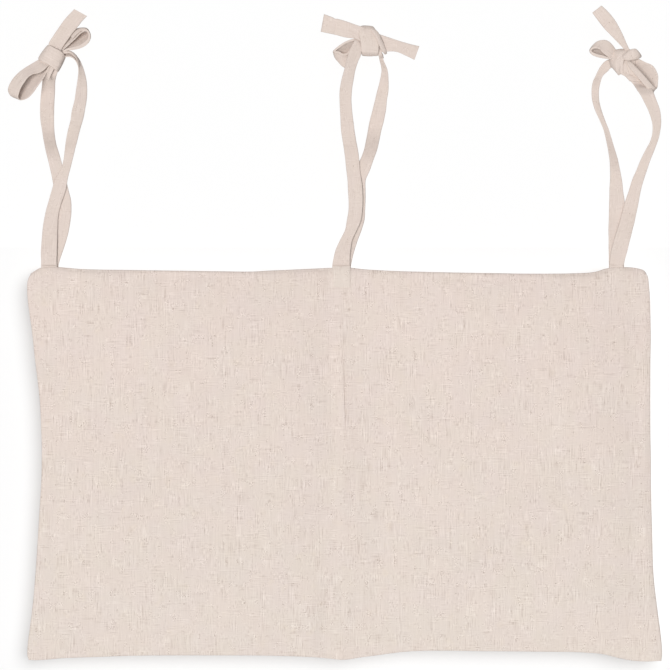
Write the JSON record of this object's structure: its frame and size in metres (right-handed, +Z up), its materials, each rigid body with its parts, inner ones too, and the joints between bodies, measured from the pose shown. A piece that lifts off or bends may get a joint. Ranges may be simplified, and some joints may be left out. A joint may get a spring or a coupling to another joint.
{
  "type": "hanging storage bag",
  "caption": "Flat padded cloth storage bag divided into pockets, open along its top edge and hung from a rail by cloth ties knotted in bows.",
  "frame": {"origin": "on the axis of the rail that passes through the tie loops, at the middle of the bag's width", "axes": "+X to the viewer's right along the rail, +Y into the picture (the back of the bag faces +Y, its face faces -Y), +Z up; the bag hangs below the origin"},
  "size_m": [0.6191, 0.0392, 0.6209],
  "materials": {
    "outer_cloth": "slub linen and cotton plain weave, matt, warm pale beige with darker and lighter slubs",
    "strap_cloth": "the same slub weave, folded into a narrow strap and pressed",
    "lining_cloth": "plain cotton, matt, off-white",
    "wadding": "lofted polyester fibre sheet, matt white",
    "thread": "spun polyester sewing thread, beige"
  },
  "bodies": {
    "ties": {"left_tie_front_strap": "strap_cloth", "left_tie_back_strap": "strap_cloth", "centre_tie_front_strap": "strap_cloth", "centre_tie_back_strap": "strap_cloth", "right_tie_front_strap": "strap_cloth", "right_tie_back_strap": "strap_cloth", "left_tie_bartack": "thread", "centre_tie_bartack": "thread", "right_tie_bartack": "thread"},
    "bag": {"back_outer_panel": "outer_cloth", "back_wadding": "wadding", "back_left_lining": "lining_cloth", "back_right_lining": "lining_cloth", "divider_stitching": "thread", "centre_tie_sewn_end": "strap_cloth"},
    "left_pocket_front": {"front_left_outer_panel": "outer_cloth", "front_left_wadding": "wadding", "front_left_lining": "lining_cloth"},
    "right_pocket_front": {"front_right_outer_panel": "outer_cloth", "front_right_wadding": "wadding", "front_right_lining": "lining_cloth"}
  },
  "joints": [
    {"name": "bag_swing", "type": "hinge", "parent": "ties", "child": "bag", "pos_m": [0, 0, -0.14751], "axis": [-1, 0, 0], "range_deg": [0, 55]},
    {"name": "left_pocket_open", "type": "hinge", "parent": "bag", "child": "left_pocket_front", "pos_m": [0, -0.0007, -0.5214], "axis": [1, 0, 0], "range_deg": [0, 7], "stiffness_Nm_per_rad": 0.3, "springref_deg": -2.86, "deforming": ["centre_tie_sewn_end"]},
    {"name": "right_pocket_open", "type": "hinge", "parent": "bag", "child": "right_pocket_front", "pos_m": [0, -0.0007, -0.5214], "axis": [1, 0, 0], "range_deg": [0, 7], "stiffness_Nm_per_rad": 0.3, "springref_deg": -2.86, "deforming": ["centre_tie_sewn_end"]}
  ]
}
